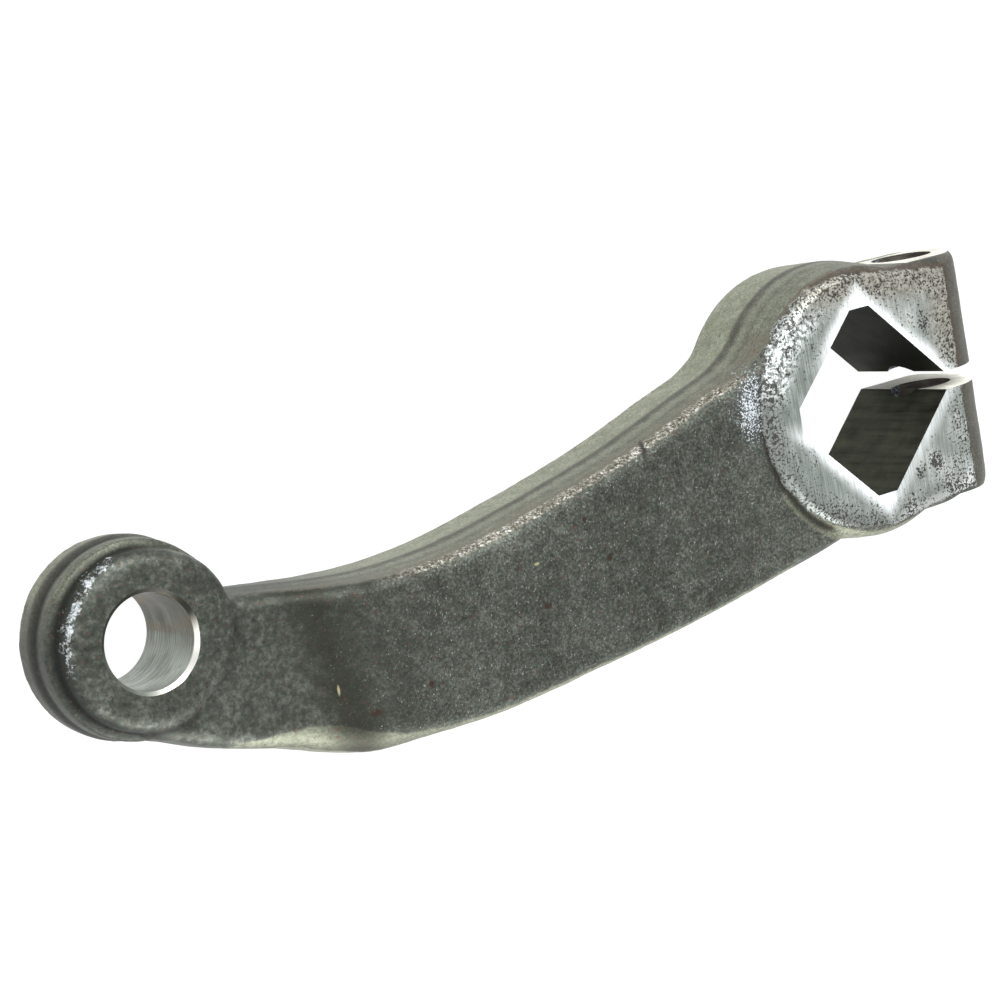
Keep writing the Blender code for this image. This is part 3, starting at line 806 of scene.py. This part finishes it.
def bright_marks(p, colour, fine, grain, mottle, blobs):
    """Add the glints on the hub's foot, the rubbed edges and those rubbed bright with a painted highlight,
    with the dent across them, and a painted highlight on the edge of the eye's boss. The last three results
    say where these shine."""
    foot = p.kept("foot")
    colour = p.blend(foot * 0.5, colour, (0.052, 0.056, 0.070))
    glints = (p.noise(2.6, 3.0, 0.6) + 0.20 * foot).between(0.63, 0.73) * foot.between(0.05, 0.5)
    colour = p.blend(glints * 0.9, colour, (0.72, 0.78, 0.82))

    wear = p.kept("wear")
    rubbed = (wear + 0.8 * (mottle - 0.5) + 0.6 * (blobs - 0.5)).between(0.40, 1.0)
    dull = p.blend(grain.between(0.40, 0.58), (0.085, 0.070, 0.052), (0.40, 0.37, 0.30))
    colour = p.blend(rubbed * 0.55, colour, dull)
    # Edges rubbed bright by wear, with a painted highlight along them
    worn_highlight = (wear + 1.6 * (blobs - 0.5) + 1.2 * (mottle - 0.5) + 3.0 * (fine - 0.5)).between(1.0, 1.65)
    colour = p.blend(worn_highlight * 0.85, colour, (0.70, 0.72, 0.69))
    below_edge = (p.z - NICK_TOP / MM).least(0.0)
    off_nick = p.x - NICK_X / MM + NICK_LEAN * below_edge + 0.8 * (fine - 0.5)
    nick = off_nick.within(0.15, 0.85) * p.z.between(20.2, 22.0) * p.y.between(-1.5, 2.5)
    colour = p.blend(nick * 0.9, colour, (0.024, 0.024, 0.021))

    # Painted highlight on the rounded edge of the eye's boss
    boss_edge = p.kept("boss_edge")
    boss_highlight = (boss_edge + 2.4 * (p.noise(0.55, 2.0) - 0.5) + 3.2 * (fine - 0.5)).between(0.65, 1.6)
    boss_highlight = boss_highlight * boss_edge.between(0.05, 0.6)
    colour = p.blend(boss_highlight * 0.9, colour, (0.74, 0.80, 0.83))
    return colour, glints, worn_highlight * (1.0 - nick), boss_highlight


def dark_marks(p, colour):
    """Add the duller nose of the ears, the rust, the brown stains and the straw-coloured specks."""
    nose = p.x.between(23.0, 26.0) * p.z.between(17.0, 23.0)
    colour = p.blend(nose * 0.45, colour, (0.20, 0.185, 0.155))
    rust = p.noise(0.55, 3.0).between(0.67, 0.75).most(p.noise(1.3, 2.0).between(0.65, 0.70))
    colour = p.blend(rust * 0.6, colour, (0.11, 0.052, 0.034))
    colour = p.blend(p.spots(STAINS) * 0.85, colour, (0.042, 0.022, 0.014))
    return p.blend(p.spots(STRAW_SPECKS) * 0.65, colour, (0.62, 0.57, 0.36))


def milled_front(p, colour, fine, blobs):
    """Add the hub's front: a milled face inside a border, with pits of scale that crowd towards it and
    glare round the bore. The other results are the face, its pits, its milled lines and its glare."""
    from_middle = p.node("VectorMath", {"operation": "DISTANCE"},
                         {0: p.stretched(1.0, 1.0, 0.0), 1: (*MILLED_MIDDLE, 0.0)}, "Value")
    ears = (27.2 - 0.13 * p.x - abs(p.y)).least(24.8 - p.x).least(p.x + 1.0)
    clean = (MILLED_RADIUS - from_middle).most(ears)
    inside = clean + 2.0 * (p.noise(0.30, 3.0) - 0.5) + 2.6 * (fine - 0.5)
    on_face = p.z.between(24.2, 24.8)
    milled = inside.between(-0.1, 0.3) * on_face
    near_bore = ((abs(p.x) + abs(p.y)) - BORE_CORNER / MM) / math.sqrt(2)
    upward = 0.06 * p.y + 0.03 * p.x
    patch = p.noise(0.16, 3.0)
    hatch = p.noise(1.0, 3.0, 0.6, p.stretched(3.4, 0.16, 0.2))

    bright = p.ramp(0.5 * hatch + 0.5 * patch,
                    (0.36, (0.24, 0.265, 0.245)), (0.50, (0.36, 0.395, 0.37)), (0.64, (0.62, 0.65, 0.63)))
    grey = p.blend(hatch.between(0.35, 0.65), (0.17, 0.20, 0.185), (0.33, 0.37, 0.35))
    bright = p.blend((-p.x).between(2.0, 16.0) * 0.6, bright, grey)
    at_top = upward.between(0.5, 1.3) * (1.0 - clean.between(3.0, 9.0))
    brown = p.blend(blobs.between(0.4, 0.6), (0.22, 0.19, 0.15), (0.47, 0.45, 0.38))
    bright = p.blend(at_top * 0.7, bright, brown)

    at_left = (0.05 * p.y - 0.05 * p.x).between(0.9, 1.6) * p.y.between(3.0, 9.0)
    at_left = at_left * (1.0 - p.y.between(17.0, 24.0))
    sparkle = at_left * (1.0 - clean.between(4.5, 8.5)) * p.noise(1.15, 3.0, 0.65).between(0.43, 0.56)
    quiet = (-p.x).between(0.0, 6.0) * (1.0 - p.y.between(8.0, 15.0)) * p.y.between(-5.0, 1.0)
    right_low = (p.x - p.y).between(8.0, 16.0) * p.x.between(0.0, 4.0) * (-p.y).between(-2.0, 2.0)
    off_glare = (near_bore + 3.0 * (patch - 0.5) + 1.6 * (hatch - 0.5)).between(0.2, 3.5)
    glare = (1.0 - off_glare) * (1.0 - quiet) * (1.0 - 0.5 * right_low)
    glare = glare * (0.62 + 0.38 * hatch.between(0.38, 0.58))
    lower_rim = (clean - 1.3).within(0.3, 1.8) * (-p.y).between(16.0, 22.0) * p.x.between(-4.0, 6.0)
    glare = glare.most(sparkle * 0.75).most(lower_rim * 0.5)
    bright = p.blend(glare, bright, (0.93, 0.98, 0.99))

    crowd = 0.075 * (1.0 - clean.between(1.5, 9.0)) + 0.22 * (patch - 0.5)
    for place in PIT_CROWDS:
        crowd = crowd + 0.12 * p.spot(*place)
    small = (p.noise(1.9, 3.0, 0.6) + 1.3 * crowd - 0.62).between(0.0, 0.06)
    large = (p.noise(0.95, 5.0, 0.68) + crowd + 0.05 * at_left - 0.635).between(0.0, 0.03)
    pits = small.most(large) * near_bore.between(0.6, 2.2)
    low_rim = (1.0 - clean.between(1.5, 5.0)) * (-0.6 * p.x - p.y).between(6.0, 16.0)
    bright = p.blend(low_rim * 0.5, bright, (0.15, 0.16, 0.145))
    bright = p.blend(pits * 0.9, bright, (0.036, 0.032, 0.027))
    border = (inside - 0.1).within(0.2, 1.6) * on_face * (0.1 + 0.9 * upward.between(0.2, 1.0))
    colour = p.blend(border * 0.6, colour, (0.115, 0.080, 0.058))
    return p.blend(milled, colour, bright), milled, pits, hatch, glare


def cut_steel(name, rough, metal, dark, light, place, depth, painted_light_and_marks=None, gloss=0.5):
    """Machined steel whose lines run one way: streaks from noise that is drawn out along them. A last
    function works painted light and shade and marks over the colour."""
    p = Paint(name, rough, metal, light)
    p.shader.inputs["Specular IOR Level"].default_value = gloss
    streak = p.noise(1.0, 4.0, 0.6, p.stretched(*place))
    stain = p.noise(0.25, 3.0)
    colour = p.ramp(0.6 * streak + 0.4 * stain, (0.35, dark), (0.65, light))
    rust = p.noise(0.6, 4.0).between(0.62, 0.72)
    colour = p.blend(rust * 0.35, colour, (0.12, 0.075, 0.045))
    if painted_light_and_marks:
        colour = painted_light_and_marks(p, colour, stain)
    p.feed(Base_Color=colour, Roughness=rough + 0.18 * (stain - 0.5))
    p.bump(streak, depth)
    return p.material


def shade_bore(p, colour, stain):
    """The square bore has painted shade on its upper walls."""
    return p.blend((p.y + 6.0 * (stain - 0.5)).between(-4.0, 8.0) * 0.95, colour, (0.009, 0.010, 0.006))


def shade_eye(p, colour, stain):
    """The eye's bore is darker on the bar's side and streaked with rust; its front edge is darker at the
    top, and a painted highlight lies on the lower part of its front chamfer.
    """
    x = p.x - EYE_CENTRE[0] / MM
    y = p.y - EYE_CENTRE[1] / MM
    dark = (0.06 * x + 0.10 * y + 1.3 * (stain - 0.5)).between(-0.2, 1.0)
    colour = p.blend(dark * 0.92, colour, (0.060, 0.058, 0.042))
    runs = p.noise(0.5, 3.0, 0.5, p.stretched(1.0, 1.0, 0.12))
    streak = (0.06 * x + 0.03 * y + 1.8 * (runs - 0.5)).between(0.50, 0.85)
    colour = p.blend(streak * 0.55, colour, (0.16, 0.115, 0.06))
    front_edge = p.z.between(20.1, 20.35)
    # Darker along the upper part of the front edge
    darker_top_edge = front_edge * (0.10 * y - 0.02 * x).between(-0.2, 0.5)
    colour = p.blend(darker_top_edge * 0.9, colour, (0.030, 0.030, 0.024))
    # Painted highlight on the lower right of the front chamfer
    chamfer = front_edge * (0.09 * x - 0.09 * y).between(0.45, 1.05)
    return p.blend(chamfer * 0.9, colour, (0.97, 0.97, 0.90))


def shade_bolt_hole(p, colour, stain):
    """The bolt hole has a painted blue-grey reflection where it breaks into the square bore."""
    blue = p.blend(p.noise(1.6, 2.0).between(0.45, 0.65), (0.08, 0.10, 0.125), (0.72, 0.80, 0.90))
    # Painted blue-grey reflection where the bolt hole breaks into the square bore
    return p.blend((25.0 - p.x).between(-0.5, 1.5) * 0.9, colour, blue)


# Floor, light and camera

def make_floor():
    """Pale floor that takes the arm's shadow and is seen white."""
    material = bpy.data.materials.new("pale_floor")
    material.use_nodes = True
    nodes = Nodes(material.node_tree)
    nodes.tree.nodes.clear()
    seen = nodes.node("LightPath", {}, {}, "Is Camera Ray")
    glossy = nodes.node("LightPath", {}, {}, "Is Glossy Ray")
    through = nodes.node("LightPath", {}, {}, "Is Transmission Ray")
    matt = nodes.node("BsdfDiffuse", {}, {"Color": (0.82, 0.82, 0.82, 1.0)})
    white = nodes.node("Emission", {}, {"Color": WHITE, "Strength": SEEN_WHITE})
    share = seen.most(glossy).most(through) * 0.88
    mixed = nodes.node("MixShader", {}, {0: share, 1: matt, 2: white})
    output = nodes.tree.nodes.new("ShaderNodeOutputMaterial")
    nodes.tree.links.new(mixed.socket, output.inputs["Surface"])
    mesh = bpy.data.meshes.new("floor")
    corners = [(x * FLOOR_REACH, y * FLOOR_REACH, 0.0) for x, y in ((-1, -1), (1, -1), (1, 1), (-1, 1))]
    mesh.from_pydata(corners, [], [[0, 1, 2, 3]])
    mesh.materials.append(material)
    floor = bpy.data.objects.new("floor", mesh)
    bpy.context.scene.collection.objects.link(floor)
    floor.location.z = -FLOOR_GAP


def soft_lamp(name, place, size, power):
    """Square studio lamp that shines from a place towards the arm's middle."""
    lamp = bpy.data.lights.new(name, "AREA")
    lamp.shape = "SQUARE"
    lamp.size = size
    lamp.energy = power
    item = bpy.data.objects.new(name, lamp)
    bpy.context.scene.collection.objects.link(item)
    back = np.array(place) / np.linalg.norm(place)
    right = np.cross([0.0, 0.0, 1.0], back)
    right = right / np.linalg.norm(right)
    turned = Matrix(np.column_stack([right, np.cross(back, right), back]).tolist()).to_4x4()
    item.matrix_world = Matrix.Translation(place) @ turned


def make_light():
    """Even pale surroundings that are seen white, a large lamp above the picture, one below it and a
    weaker one at its left."""
    world = bpy.data.worlds.new("studio")
    world.use_nodes = True
    nodes = Nodes(world.node_tree)
    seen = nodes.node("LightPath", {}, {}, "Is Camera Ray")
    light = nodes.node("Background", {}, {"Color": WHITE, "Strength": SKY_LIGHT})
    white = nodes.node("Background", {}, {"Color": WHITE, "Strength": SEEN_WHITE})
    mixed = nodes.node("MixShader", {}, {0: seen, 1: light, 2: white})
    nodes.tree.links.new(mixed.socket, nodes.tree.nodes["World Output"].inputs["Surface"])
    bpy.context.scene.world = world
    soft_lamp("lamp_above", (0.05, 0.75, 0.75), 0.7, 14.0)
    soft_lamp("lamp_left", (-0.75, 0.0, 0.45), 0.5, 1.4)
    soft_lamp("lamp_below", (0.0, -0.8, 0.35), 0.6, 9.0)


def make_camera():
    """Camera at the photograph's place, with its axes given in the frame."""
    data = bpy.data.cameras.new("camera")
    data.lens = CAMERA_LENS
    data.sensor_width = 36.0
    data.clip_start = 0.01
    camera = bpy.data.objects.new("camera", data)
    bpy.context.scene.collection.objects.link(camera)
    turned = Matrix(np.column_stack([CAMERA_RIGHT, CAMERA_UP, CAMERA_BACK]).tolist()).to_4x4()
    camera.matrix_world = Matrix.Translation(CAMERA_PLACE.tolist()) @ turned
    bpy.context.scene.camera = camera


def make_tools(broached, sawn, spot_faced, drilled, reamed):
    """Cutting tools for the square bore with its corners taken off, the slot that opens its fourth
    corner, the clamp bolt's hole, the two round seats on the ears and the eye's chamfered bore."""
    flat = BORE_CORNER_FLAT / 2
    near = BORE_CORNER - flat
    half_slot = SLOT_WIDTH / 2
    slot_start = SQUARE_BORE / 2
    slot_end = EAR_REACH + CUT_SPILL
    far = 2 * HUB_RADIUS
    low = -CUT_SPILL
    top = HUB_THICKNESS + CUT_SPILL
    eye = EYE_BORE / 2
    wide = eye + EYE_CHAMFER + CUT_SPILL
    square = [(BORE_CORNER, 0.0), (flat, near), (-flat, near), (-near, flat), (-near, -flat),
              (-flat, -near), (flat, -near)]
    slot = [(slot_start, -half_slot), (slot_end, -half_slot), (slot_end, half_slot), (slot_start, half_slot)]
    chamfered = [(wide, low), (eye, EYE_CHAMFER), (eye, EYE_THICKNESS - EYE_CHAMFER),
                 (wide, EYE_THICKNESS + CUT_SPILL)]
    return [
        prism("square_bore", square, low, top, broached),
        prism("slot", slot, low, top, sawn),
        rod("bolt_hole", BOLT_HOLE / 2, -far, far, drilled),
        rod("upper_seat", SPOT_FACE / 2, EAR_HALF_WIDTH - UPPER_SEAT_DEPTH, far, spot_faced),
        rod("lower_seat", SPOT_FACE / 2, -far, LOWER_SEAT_DEPTH - EAR_HALF_WIDTH, spot_faced),
        drill("eye_bore", chamfered, reamed),
    ]


def main():
    """Build the arm and what stands round it."""
    steel = forged_steel()
    broached = cut_steel("broached_steel", 0.6, 0.85, (0.024, 0.027, 0.019), (0.092, 0.097, 0.070),
                         (0.5, 0.5, 0.04), 0.02, shade_bore, gloss=0.1)
    sawn = cut_steel("sawn_steel", 0.5, 0.0, (0.60, 0.60, 0.53), (1.0, 1.0, 0.94), (0.15, 1.0, 2.5), 0.02)
    spot_faced = cut_steel("spot_faced_steel", 0.45, 0.2, (0.42, 0.40, 0.34), (0.90, 0.88, 0.80),
                           (1.2, 1.0, 1.2), 0.02)
    drilled = cut_steel("drilled_steel", 0.4, 0.5, (0.040, 0.036, 0.031), (0.20, 0.18, 0.15),
                        (0.3, 2.4, 0.3), 0.03, shade_bolt_hole)
    reamed = cut_steel("reamed_steel", 0.36, 0.7, (0.11, 0.12, 0.095), (0.54, 0.60, 0.54),
                       (0.08, 0.08, 3.0), 0.02, shade_eye)

    arm = make_forging(steel)
    tools = make_tools(broached, sawn, spot_faced, drilled, reamed)
    mesh = machine(arm, tools)
    store_places(mesh)
    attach(arm, "root")
    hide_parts("steering_arm")
    make_floor()
    make_light()
    make_camera()
    bpy.context.scene.view_settings.view_transform = "Standard"


main()
